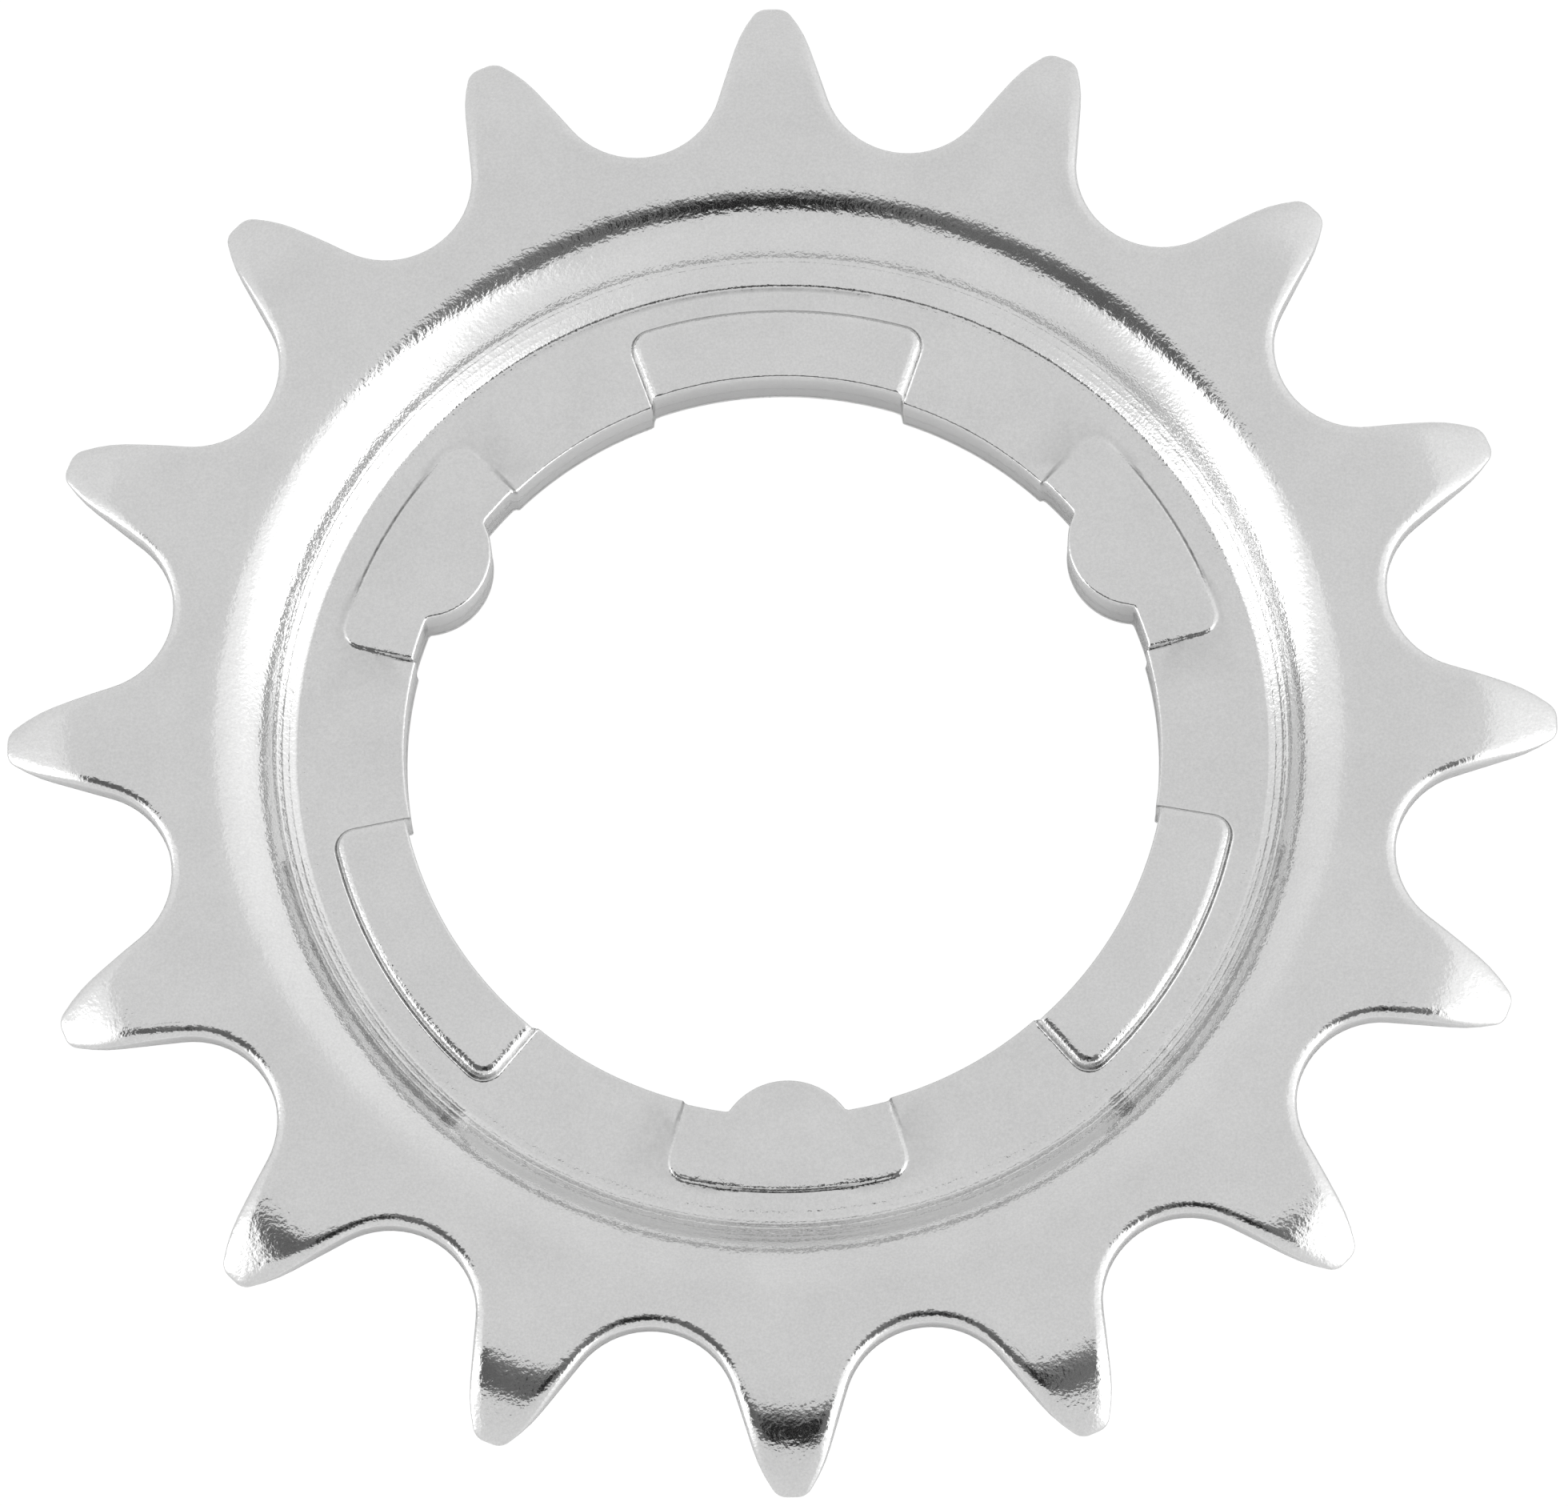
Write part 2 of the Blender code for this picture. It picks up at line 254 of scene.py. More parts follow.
# A Mix node's colour sockets: factor and both colours in, and the result out
MIX_COLOUR_INPUTS = (0, 6, 7)
MIX_COLOUR_RESULT = 2

# Camera: lens in mm, place from the middle of the toothed plate's front, and turns in degrees
CAMERA_LENS = 210.25
CAMERA_SENSOR = 36.0
CAMERA_CLIP = (0.01, 20.0)
CAMERA_PLACE = (4.115, -119.163, 402.555)
CAMERA_TURNS = (("X", -16.32), ("Y", -0.793), ("Z", 0.76))

# Floor: half its side in metres, how far it lies below the part in mm, its paper, and the glow that
# the camera mostly sees instead
FLOOR_HALF_SIDE = 1.5
FLOOR_GAP = 0.05
FLOOR_GREY = 0.8
FLOOR_ROUGHNESS = 0.9
FLOOR_GLOW = 1.05
FLOOR_GLOW_SHARE = 0.94

# World: its light as (height, grey) stops, and the backdrop that the camera sees
WORLD_STOPS = ((0.004, 0.75), (0.03, 0.86), (0.9, 0.83))
BACKDROP_GREY = 1.0

# Light tent, in metres and degrees: its light, how much more comes from the right, from the left
# and from its upper and lower edges, and the angles between which each of them grows
TENT_DISTANCE = 1.4
TENT_SPAN = 89.0
TENT_CELLS = 110
TENT_LIGHT = 0.80
TENT_RIGHT = 0.17
TENT_RIGHT_RANGE = (0.0, 64.0)
TENT_LEFT = 0.03
TENT_LEFT_RANGE = (0.0, 45.0)
TENT_EDGE = 0.025
TENT_EDGE_RANGE = (24.0, 50.0)

# Two soft boxes. Each begins at the side angle "inner", and its upper and lower rims are
# (side angles, tilt angles), in degrees
BOX_INNER_RANGE = (-4.0, 1.0)
BOX_CORE = 0.75
BOX_CORE_RIM = 6.0
BOX_VEIL = 0.37
RIGHT_BOX = {
    "inner": 25.5,
    "upper": ((25, 40, 56, 72, 88), (-7, 3, 17, 34, 80)),
    "lower": ((22, 40, 56), (-31, -46, -80)),
    "veil_above": 28.0,
    "veil_below": 17.0,
}
LEFT_BOX = {
    "inner": 33.0,
    "upper": ((36, 42, 56, 64, 72, 88), (-3, 3, 10, 20, 34, 80)),
    "lower": ((36, 56, 64, 72), (-27, -44, -57, -80)),
    "veil_above": 21.0,
    "veil_below": 8.0,
}

# Dark opening round the lens, in metres from it, and its greys as (amount, from, to)
CARD_LEFT = -0.274
CARD_RIGHT = 0.194
CARD_HALF_HEIGHT = 0.086
CARD_RISE = 0.008
CARD_SLANT = -0.06
CARD_CELLS = (100, 40)
CARD_ROUNDNESS = 6
CARD_RIM = (0.55, 1.0)
CARD_GREY = 0.12
CARD_SIDE_GREY = (0.05, -0.2, -0.05)
CARD_TOP_GREY = (0.1, 0.01, 0.08)
CARD_TOP_SIDE = (-0.2, 0.0)
LENS_GREY = 0.01
LENS_RIM = (0.03, 0.085)
LENS_DROP = 0.01


def unit(angle):
    """Points on the unit circle, one row for each angle."""
    angle = np.asarray(angle, float)
    return np.stack([np.cos(angle), np.sin(angle)], axis=-1)


def smooth(low, high, value):
    """0 below low, 1 above high, and a smooth change between."""
    part = np.clip((value - low) / (high - low), 0.0, 1.0)
    return part * part * (3 - 2 * part)


def turned(points, angle):
    """Plane points turned about the origin."""
    cos, sin = math.cos(angle), math.sin(angle)
    return points @ np.array([[cos, sin], [-sin, cos]])


# ---------------------------------------------------------------- toothed outline


def half_tooth():
    """Points and outward normals of a tooth's right side, from the middle of the gap to the tip."""
    seat_centre = PITCH_RADIUS * np.array([math.sin(HALF_STEP), math.cos(HALF_STEP)])
    seat = np.linspace(1.5 * math.pi - HALF_STEP, math.pi + FLANK_ANGLE, SEAT_STEPS + 1)
    points = [seat_centre + SEAT_RADIUS * unit(seat)]
    normals = [-unit(seat)]
    side = unit(FLANK_ANGLE)
    along = np.array([-side[1], side[0]])
    reach = np.linspace(0.0, FLANK_LENGTH, FLANK_STEPS + 1)[1:, None]
    points.append(points[0][-1] + reach * along)
    normals.append(np.repeat(side[None], FLANK_STEPS, axis=0))
    for radius, start, end, steps in (
        (SHOULDER_RADIUS, FLANK_ANGLE, SHOULDER_ANGLE, SHOULDER_STEPS),
        (CORNER_RADIUS, SHOULDER_ANGLE, math.pi / 2, CORNER_STEPS),
    ):
        centre = points[-1][-1] - radius * unit(start)
        angles = np.linspace(start, end, steps + 1)[1:]
        points.append(centre + radius * unit(angles))
        normals.append(unit(angles))
    points.append(np.array([[0.0, points[-1][-1][1]]]))
    normals.append(np.array([[0.0, 1.0]]))
    return np.concatenate(points), np.concatenate(normals)


def toothed_outline():
    """Points and outward normals of the whole outline, counter-clockwise from a gap right of +Y."""
    points, normals = half_tooth()
    mirror = np.array([-1.0, 1.0])
    points = np.concatenate([points, points[-2:0:-1] * mirror])
    normals = np.concatenate([normals, normals[-2:0:-1] * mirror])
    turns = [2 * math.pi * i / TEETH for i in range(TEETH)]
    return (
        np.concatenate([turned(points, turn) for turn in turns]),
        np.concatenate([turned(normals, turn) for turn in turns]),
    )


# ---------------------------------------------------------------- turned part: plate and bend


def bevel_depth(points):
    """How far the front face has sunk at plane points. It sinks more at the teeth's sides."""
    radius = np.linalg.norm(points, axis=1)
    full = BEVEL_RADIUS * math.sin(BEVEL_ANGLE)
    run = np.clip(radius - BEVEL_START, 0.0, full)
    beyond = np.clip(radius - BEVEL_START - full, 0.0, None)
    depth = BEVEL_RADIUS - np.sqrt(BEVEL_RADIUS**2 - run**2) + beyond * math.tan(BEVEL_ANGLE)
    from_tooth = np.arctan2(points[:, 1], points[:, 0]) % (2 * HALF_STEP)
    from_tooth = np.minimum(from_tooth, 2 * HALF_STEP - from_tooth)
    aside = radius * np.sin(from_tooth)
    return depth + BEVEL_CROWN * aside**2 * np.clip(radius - BEVEL_CROWN_START, 0.0, None)


def roll_part(points):
    """Part of the rolled edge's full depth at points of the outline, less at the tips."""
    tip = smooth(BEVEL_START, TIP_RADIUS, np.linalg.norm(points, axis=1))
    return 1 + (TIP_ROLL - 1) * tip


def roll_profile():
    """The rolled edge as (distance in from the outline, drop), from the wall in to the face."""
    slopes = np.radians(ROLL_SLOPES)
    inner = np.minimum(slopes, ROLL_EDGE_SLOPE)
    outer = np.maximum(slopes, ROLL_EDGE_SLOPE)
    run = ROLL_RADIUS * np.sin(inner)
    run += ROLL_EDGE_RADIUS * (np.sin(outer) - math.sin(ROLL_EDGE_SLOPE))
    drop = ROLL_RADIUS * (1 - np.cos(inner))
    drop += ROLL_EDGE_RADIUS * (math.cos(ROLL_EDGE_SLOPE) - np.cos(outer))
    return list(zip(run[0] - run, drop))


def back_height(radius):
    """Height of the toothed plate's back face."""
    return PLATE_BACK + BACK_BEVEL_SLOPE * np.clip(radius - BACK_BEVEL_START, 0.0, None)


def arc_profile(radius, height, arc_radius, start, end, rows):
    """(radius, height) along an arc from one slope to another, going in and down from a point."""
    slopes = np.linspace(start, end, rows + 1)[1:]
    run = arc_radius * (np.sin(slopes) - math.sin(start))
    drop = arc_radius * (math.cos(start) - np.cos(slopes))
    return [(radius - a, height - b) for a, b in zip(run, drop)]


def fillet_profile(radius, height, arc_radius, start, end, rows):
    """(radius, height) along a hollow arc whose slope falls from start to end."""
    slopes = np.linspace(start, end, rows + 1)[1:]
    run = arc_radius * (math.sin(start) - np.sin(slopes))
    drop = arc_radius * (np.cos(slopes) - math.cos(start))
    return [(radius - a, height - b) for a, b in zip(run, drop)]


def groove_profile(radius, height, slope, tilt, step):
    """A fine groove in a surface of some slope, going in and down from a point."""
    middle = (radius - step * math.cos(slope + tilt), height - step * math.sin(slope + tilt))
    end = (middle[0] - step * math.cos(slope - tilt), middle[1] - step * math.sin(slope - tilt))
    return [middle, end]


def front_profile():
    """The dish's front from the bend's start in to the ring where the flange's mesh begins, as
    (radius, height, how scuffed it is at most, how scuffed at least, how much painted shade
    darkens its crease)."""
    points = [(BEND_START, PLATE_FRONT)]
    points += arc_profile(*points[-1], BEND_RADIUS, 0.0, BEND_ANGLE, BEND_ROWS)
    points += fillet_profile(*points[-1], KNEE_RADIUS, BEND_ANGLE, KNEE_ANGLE, FILLET_ROWS)
    foot_drop = FOOT_FILLET_RADIUS * (1 - math.cos(FOOT_ANGLE))
    groove_drop = 2 * GROOVE_STEP * math.cos(GROOVE_TILT) * sum(map(math.sin, GROOVE_SLOPES))
    left = points[-1][1] - FLANGE_FRONT - foot_drop - groove_drop
    wall_radius = left / (math.cos(FOOT_ANGLE) - math.cos(KNEE_ANGLE))
    slope = KNEE_ANGLE
    for groove_slope in GROOVE_SLOPES:
        points += fillet_profile(*points[-1], wall_radius, slope, groove_slope, FILLET_ROWS)
        points += groove_profile(*points[-1], groove_slope, GROOVE_TILT, GROOVE_STEP)
        slope = groove_slope
    points += fillet_profile(*points[-1], wall_radius, slope, FOOT_ANGLE, FILLET_ROWS)
    points += fillet_profile(*points[-1], FOOT_FILLET_RADIUS, FOOT_ANGLE, 0.0, FOOT_ROWS)
    foot = len(points)
    points += [(points[foot - 1][0] - reach, FLANGE_FRONT - drop) for reach, drop in FOOT_GROOVE]
    points += [(points[-1][0] - FOOT_SCUFF_WIDTH, FLANGE_FRONT), (RING_RADIUS, FLANGE_FRONT)]
    radii = np.array([radius for radius, _ in points])
    scuffs = smooth(SCUFF_START_RADIUS, SCUFF_FULL_RADIUS, radii)
    least = np.full(len(points), SCUFF_LEAST)
    least[foot - 1 : foot + 2] = FOOT_GROOVE_SCUFF
    least[-2:] = scuffs[-2:] = 0.0
    # Painted shade: the crease at the wall's foot is darkened
    crease_shades = np.zeros(len(points))
    crease_shades[foot - 1 : foot + 1] = FOOT_PAINTED_SHADE
    return [(*point, *looks) for point, looks in zip(points, zip(scuffs, least, crease_shades))]


def back_profile():
    """The dish's back from that ring out to the start of the flat plate."""
    sin, cos = math.sin(BACK_BEND_ANGLE), math.cos(BACK_BEND_ANGLE)
    centre_z = PLATE_FRONT - BEND_RADIUS
    wall_r = BEND_START - BACK_BEND_RADIUS * sin
    wall_z = centre_z + BACK_BEND_RADIUS * cos
    corner_r = wall_r - BACK_CORNER_RADIUS * sin
    corner_r -= (wall_z - BACK_CORNER_RADIUS * (1 - cos)) * cos / sin
    points = [(RING_RADIUS, 0.0)]
    for slope in np.linspace(0.0, BACK_BEND_ANGLE, BACK_ROWS + 1):
        reach = BACK_CORNER_RADIUS * math.sin(slope)
        points.append((corner_r + reach, BACK_CORNER_RADIUS * (1 - math.cos(slope))))
    for slope in np.linspace(BACK_BEND_ANGLE, 0.0, BACK_ROWS + 1):
        reach = BACK_BEND_RADIUS * math.sin(slope)
        points.append((BEND_START - reach, centre_z + BACK_BEND_RADIUS * math.cos(slope)))
    return points


def raised(points, height):
    """Plane points given a height each."""
    height = np.broadcast_to(height, points.shape[:1])
    return np.concatenate([points, height[:, None]], axis=1)


def turned_grid():
    """Rows of points round the part, from the flange's back out, up the teeth and in to the flange,
    with how torn and scuffed each point is, and how much painted shade darkens it."""
    outline, normals = toothed_outline()
    count = len(outline)
    angles = math.pi / 2 - HALF_STEP + 2 * math.pi * np.arange(count) / count
    circle = unit(angles)
    rows, cut, scuffs, crease_shades = [], [], [], []

    def add(points, height, torn=0.0, scuffed=0.0, crease_shade=0.0):
        rows.append(raised(points, height))
        cut.append(np.full(count, torn))
        scuffs.append(np.full(count, scuffed))
        crease_shades.append(np.full(count, crease_shade))

    for radius, height in back_profile():
        add(radius * circle, height)
    inner = COLLAR_RADIUS * circle
    outer = outline - (BACK_EDGE + TORN_WALL[0][1]) * normals
    for part in np.linspace(0.0, 1.0, BACK_FACE_ROWS + 1):
        points = inner + (outer - inner) * part
        add(points, back_height(np.linalg.norm(points, axis=1)))
    wall_foot = back_height(np.linalg.norm(outline, axis=1)) + BACK_EDGE
    roll = roll_profile()
    wall_head = PLATE_FRONT - bevel_depth(outline) - roll_part(outline) * roll[0][1]
    shear_foot = np.minimum(PLATE_FRONT - SHEAR_END, wall_head - SHEAR_LEAST)
    for part, torn_in, torn in TORN_WALL:
        add(outline - torn_in * normals, wall_foot + (shear_foot - wall_foot) * part, torn)
    for part, torn_in, torn in SHEARED_WALL:
        add(outline - torn_in * normals, shear_foot + (wall_head - shear_foot) * part, torn)
    for inward, roll_drop in roll:
        points = outline - inward * normals
        add(points, PLATE_FRONT - bevel_depth(points) - roll_part(outline) * roll_drop)
    outer = outline - roll[-1][0] * normals
    for part in np.linspace(0.0, 1.0, FACE_ROWS + 1)[1:]:
        points = outer + (inner - outer) * part
        add(points, PLATE_FRONT - bevel_depth(points))
    from_middle = (angles - SCUFF_MIDDLE + math.pi) % (2 * math.pi) - math.pi
    scuffed_side = SCUFF_MOST * np.exp(-((from_middle / SCUFF_SPREAD) ** 2))
    # Painted shade at the foot crease, strongest round one direction
    crease_shade_side = np.exp(-(((angles - FOOT_PAINTED_SHADE_MIDDLE) / FOOT_PAINTED_SHADE_SPREAD) ** 2))
    for radius, height, scuffed, least, crease_shade in front_profile():
        scuffed = scuffed * np.maximum(scuffed_side, least)
        add(radius * circle, height, 0.0, scuffed, crease_shade * crease_shade_side)
    return np.array(rows), np.array(cut), np.array(scuffs), np.array(crease_shades), circle


# ---------------------------------------------------------------- flange: bore, lobes and pads


def bore_radius(angle):
    """Radius of the bore's edge in each direction."""
    step = 2 * math.pi / LOBES
    from_lobe = np.abs((angle - FIRST_LOBE + step / 2) % step - step / 2)
    from_pad = step / 2 - from_lobe
    lobed = 1 - smooth(-BORE_STEP_BLEND, BORE_STEP_BLEND, from_lobe - LOBED_PAD_HALF_ANGLE)
    plain = 1 - smooth(-BORE_STEP_BLEND, BORE_STEP_BLEND, from_pad - PLAIN_PAD_HALF_ANGLE)
    radius = BORE_RADIUS + (LOBED_PAD_BORE_RADIUS - BORE_RADIUS) * lobed
    radius = radius + (PLAIN_PAD_BORE_RADIUS - BORE_RADIUS) * plain
    centre = LOBE_TIP_RADIUS + LOBE_RADIUS
    inside = LOBE_RADIUS**2 - (centre * np.sin(from_lobe)) ** 2
    lobe = centre * np.cos(from_lobe) - np.sqrt(np.clip(inside, 0.0, None))
    lobe = np.where(inside > 0, lobe, centre + LOBE_RADIUS)
    mix = np.clip(0.5 + 0.5 * (lobe - radius) / LOBE_BLEND, 0.0, 1.0)
    return lobe * (1 - mix) + radius * mix - LOBE_BLEND * mix * (1 - mix)


def bore_distance(points):
    """About how far plane points are from the bore's edge, positive in the metal."""
    radius = np.linalg.norm(points, axis=1)
    angle = np.arctan2(points[:, 1], points[:, 0])
    edge = bore_radius(angle)
    rise = bore_radius(angle + BORE_ANGLE_STEP) - bore_radius(angle - BORE_ANGLE_STEP)
    slope = rise / (2 * BORE_ANGLE_STEP)
    return (radius - edge) / np.sqrt(1 + (slope / edge) ** 2)


def bore_loop(offset):
    """The bore's edge, moved into the metal, as evenly spaced points."""
    angle = np.linspace(0.0, 2 * math.pi, BORE_SAMPLES)
    fine = bore_radius(angle)[:, None] * unit(angle)
    length = np.concatenate([[0.0], np.cumsum(np.linalg.norm(np.diff(fine, axis=0), axis=1))])
    count = LOBES * round(length[-1] / BORE_SPACING / LOBES)
    at = np.linspace(0.0, length[-1], count + 1)[:-1]
    loop = np.stack([np.interp(at, length, fine[:, axis]) for axis in (0, 1)], axis=1)
    ahead = np.roll(loop, -1, axis=0) - np.roll(loop, 1, axis=0)
    normal = np.stack([ahead[:, 1], -ahead[:, 0]], axis=1)
    normal /= np.linalg.norm(normal, axis=1)[:, None]
    return loop + offset * normal


def pad_corner(half_angle):
    """Centre of a pad's round outer corner, and its direction from the bore's axis."""
    reach = PAD_OUTER_RADIUS - PAD_CORNER_RADIUS
    angle = half_angle - math.asin(PAD_CORNER_RADIUS / reach)
    return reach * unit(angle), angle


def pad_loop(middle, half_angle, offset):
    """A pad's outline moved outwards, as a closed loop that ends inside the bore."""
    corner, corner_angle = pad_corner(half_angle)
    side_normal = half_angle + math.pi / 2
    radius = PAD_CORNER_RADIUS + offset
    start = corner + radius * unit(side_normal)
    down = -unit(half_angle)
    length = np.dot(start, -down) - PAD_INNER_RADIUS
    straight = start + np.linspace(length, 0.0, round(length / PAD_SPACING))[:-1, None] * down
    corner_turn = np.linspace(side_normal, corner_angle, PAD_CORNER_POINTS)
    corner_points = corner + radius * unit(corner_turn)
    outer_radius = PAD_OUTER_RADIUS + offset
    outer_steps = 2 * round(corner_angle * PAD_OUTER_RADIUS / PAD_SPACING / 2)
    outer = outer_radius * unit(np.linspace(corner_angle, 0.0, outer_steps + 1)[1:])
    half = np.concatenate([straight, corner_points, outer])
    loop = np.concatenate([half, half[-2::-1] * np.array([1.0, -1.0])])
    return turned(loop, middle)


def pad_distance(points, middle, half_angle):
    """How far plane points are outside a pad's outline, negative on the pad."""
    local = turned(points, -middle)
    local[:, 1] = np.abs(local[:, 1])
    corner, corner_angle = pad_corner(half_angle)
    side, along = unit(half_angle + math.pi / 2), unit(corner_angle)
    from_corner = local - corner
    outside = np.maximum(local @ side, np.linalg.norm(local, axis=1) - PAD_OUTER_RADIUS)
    in_corner = (from_corner @ side > 0) & (from_corner @ along > 0)
    rounded = np.linalg.norm(from_corner, axis=1) - PAD_CORNER_RADIUS
    ahead = local[:, 0] > 0
    return np.where(ahead, np.where(in_corner, rounded, outside), PAD_OUTER_RADIUS)


def pads():
    """Each pad as (middle, half angle, rise, pocket depth)."""
    step = 2 * math.pi / LOBES
    for i in range(LOBES):
        lobe = FIRST_LOBE + step * i
        yield lobe, LOBED_PAD_HALF_ANGLE, LOBED_PAD_RISE, LOBED_POCKET_DEPTH
        yield lobe + step / 2, PLAIN_PAD_HALF_ANGLE, PLAIN_PAD_RISE, PLAIN_POCKET_DEPTH


def flange_heights(points):
    """The flange's front and back height at plane points, how scuffed it is, and how much painted
    shade darkens its creases.
    """
    front = np.full(len(points), FLANGE_FRONT)
    back = np.zeros(len(points))
    scuffed = np.zeros(len(points))
    crease_shade = np.zeros(len(points))
    for middle, half_angle, rise, pocket in pads():
        outside = pad_distance(points, middle, half_angle)
        back += pocket * np.interp(outside, PAD_EDGE_AT, PAD_EDGE_HEIGHT)
        sharp = np.ones(len(points))
        if rise == LOBED_PAD_RISE:
            local = turned(points, -middle)
            local[:, 1] = np.abs(local[:, 1])
            corner_distance = np.linalg.norm(local - pad_corner(half_angle)[0], axis=1)
            sharp = smooth(*CORNER_FADE, corner_distance)
            outside = outside / (1 + (CORNER_SPREAD - 1) * (1 - sharp))
        front += rise * np.interp(outside, PAD_EDGE_AT, PAD_EDGE_HEIGHT)
        scuffed = np.maximum(scuffed, sharp * np.interp(outside, PAD_SCUFF_AT, PAD_SCUFF))
        # Painted shade along the pad's crease
        crease_shade = np.maximum(crease_shade, sharp * np.interp(outside, PAD_PAINTED_SHADE_AT, PAD_PAINTED_SHADE))
    near = np.clip(bore_distance(points) / BORE_ROLL_WIDTH, 0.0, 1.0)
    front -= BORE_ROLL_DEPTH * (1 - np.sqrt(1 - (1 - near) ** 2))
    return front, back, np.maximum(scuffed, BORE_SCUFF * (1 - near)), crease_shade


def flange_plan(ring):
    """Points and counter-clockwise triangles of the flange in plan, from a ring in to the bore."""
    loops = [ring, bore_loop(0.0)]
    rolls = BORE_ROLL_WIDTH * (1 - np.cos(np.radians(BORE_ROLL_ANGLES)))
    loops += [bore_loop(offset) for offset in rolls]
    for middle, half_angle, _, _ in pads():
        loops += [pad_loop(middle, half_angle, offset) for offset in PAD_EDGE_AT]
    points, edges, starts = [], [], []
    for loop in loops:
        first = len(points)
        starts.append(first)
        points += [Vector(point) for point in loop]
        edges += [(first + i, first + (i + 1) % len(loop)) for i in range(len(loop))]
    ring_face = list(range(len(ring)))
    bore_face = list(range(starts[1], starts[2]))
    made = delaunay_2d_cdt(points, edges, [ring_face, bore_face], 0, PLAN_WELD_DISTANCE, True)
    plan = np.array([tuple(point) for point in made[0]])
    metal = [face for face, source in zip(made[2], made[5]) if 0 in source and 1 not in source]
    triangles = np.array([triangle for face in metal for triangle in fan(face)])
    edge_a, edge_b, edge_c = (plan[triangles[:, i]] for i in range(3))
    area = np.cross(edge_b - edge_a, edge_c - edge_a)
    triangles[area < 0] = triangles[area < 0][:, ::-1]
    return plan, triangles


def fan(face):
    """A face's triangles."""
    return [(face[0], face[i], face[i + 1]) for i in range(1, len(face) - 1)]


def bore_edges(plan, triangles):
    """The plan's directed edges at the bore, each with metal on its left."""
    edges = {}
    for a, b, c in triangles.tolist():
        for edge in ((a, b), (b, c), (c, a)):
            edges[edge] = True
    open_edges = [edge for edge in edges if (edge[1], edge[0]) not in edges]
    inside = RING_RADIUS - RING_MARGIN
    return [edge for edge in open_edges if np.linalg.norm(plan[edge[0]]) < inside]


def bore_wall_normals(plan, edges):
    """The bore's points in order, and each one's direction into the metal."""
    inward = {}
    for a, b in edges:
        side = plan[b] - plan[a]
        normal = np.array([-side[1], side[0]]) / max(np.linalg.norm(side), SHORTEST_EDGE)
        for end in (a, b):
            inward[end] = inward.get(end, 0.0) + normal
    names = sorted(inward)
    return names, np.array([inward[name] / np.linalg.norm(inward[name]) for name in names])


# ---------------------------------------------------------------- mesh


class Surface:
    """Collects the mesh's points, with how torn and scuffed each is and how much painted shade
    darkens it, and its faces.
    """

    def __init__(self):
        self.count = 0
        self.points = []
        self.looks = {"torn": [], "scuffed": [], "crease_shade": []}
        self.faces = []

    def add(self, points, **looks):
        """Adds points and returns the first one's number."""
        first = self.count
        self.count += len(points)
        self.points.append(points)
        for name, values in self.looks.items():
            values.append(np.broadcast_to(looks.get(name, 0.0), (len(points),)))
        return first

    def mesh(self, name):
        mesh = bpy.data.meshes.new(name)
        mesh.from_pydata((np.concatenate(self.points) * MM).tolist(), [], self.faces)
        for look, values in self.looks.items():
            attribute = mesh.attributes.new(look, "FLOAT", "POINT")
            attribute.data.foreach_set("value", np.concatenate(values).astype(np.float32))
        return mesh


def build_mesh():
    surface = Surface()
    rows, torn, scuffed, crease_shade, circle = turned_grid()
    count = rows.shape[1]
    looks = {"torn": torn, "scuffed": scuffed, "crease_shade": crease_shade}
    looks = {name: values.reshape(-1) for name, values in looks.items()}
    surface.add(rows.reshape(-1, 3), **looks)
    for low in range(0, (len(rows) - 1) * count, count):
        for j in range(count):
            k = (j + 1) % count
            surface.faces.append((low + j, low + k, low + count + k, low + count + j))

    plan, triangles = flange_plan(RING_RADIUS * circle)
    front, back, scuffed, crease_shade = flange_heights(plan)
    front_first = surface.add(raised(plan, front), scuffed=scuffed, crease_shade=crease_shade)
    back_first = surface.add(raised(plan, back))
    surface.faces += [tuple(t) for t in (triangles + front_first).tolist()]
    surface.faces += [tuple(t[::-1]) for t in (triangles + back_first).tolist()]

    edges = bore_edges(plan, triangles)
    names, into = bore_wall_normals(plan, edges)
    levels = [{name: back_first + name for name in names}]
    for part, torn_in, torn in BORE_WALL:
        height = back[names] + (front[names] - back[names]) * part
        first = surface.add(raised(plan[names] + torn_in * into, height), torn=torn)
        levels.append({name: first + i for i, name in enumerate(names)})
    levels.append({name: front_first + name for name in names})
    for low, high in zip(levels, levels[1:]):
        surface.faces += [(low[b], low[a], high[a], high[b]) for a, b in edges]

    mesh = surface.mesh("hub_gear_sprocket")
    work = bmesh.new()
    work.from_mesh(mesh)
    bmesh.ops.remove_doubles(work, verts=work.verts, dist=WELD_DISTANCE)
    bmesh.ops.dissolve_degenerate(work, edges=work.edges, dist=WELD_DISTANCE)
    bmesh.ops.recalc_face_normals(work, faces=work.faces)
    work.to_mesh(mesh)
    work.free()
    mesh.shade_smooth()
    mesh.set_sharp_from_angle(angle=SHARP_ANGLE)
    return mesh


# ---------------------------------------------------------------- materials


